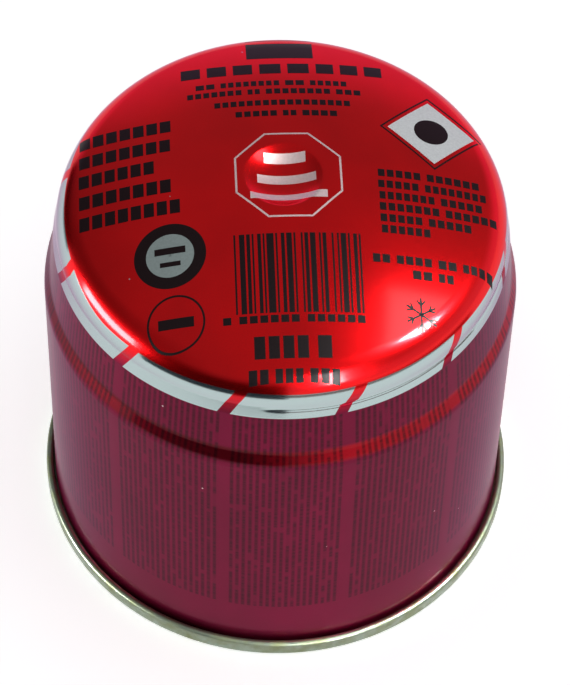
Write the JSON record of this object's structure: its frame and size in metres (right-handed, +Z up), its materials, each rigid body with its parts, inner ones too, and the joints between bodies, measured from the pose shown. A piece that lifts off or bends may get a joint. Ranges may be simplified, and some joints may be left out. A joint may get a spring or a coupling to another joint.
{
  "type": "pierceable fuel canister",
  "caption": "Squat sealed steel gas canister with a crowned dimpled top, stepped neck, straight wall and seamed recessed base.",
  "frame": {"origin": "middle of the seam's foot, on the surface that the canister stands on", "axes": "+Z up along the can's axis; -Y faces the viewer of the picture"},
  "size_m": [0.09, 0.09, 0.0891],
  "materials": {
    "lacquered_tinplate": "translucent red lacquer over tinplate, gloss, with a bare tinplate band at the neck and a tarnished bare seam"
  },
  "bodies": {
    "root": {"canister": "lacquered_tinplate"}
  },
  "joints": []
}
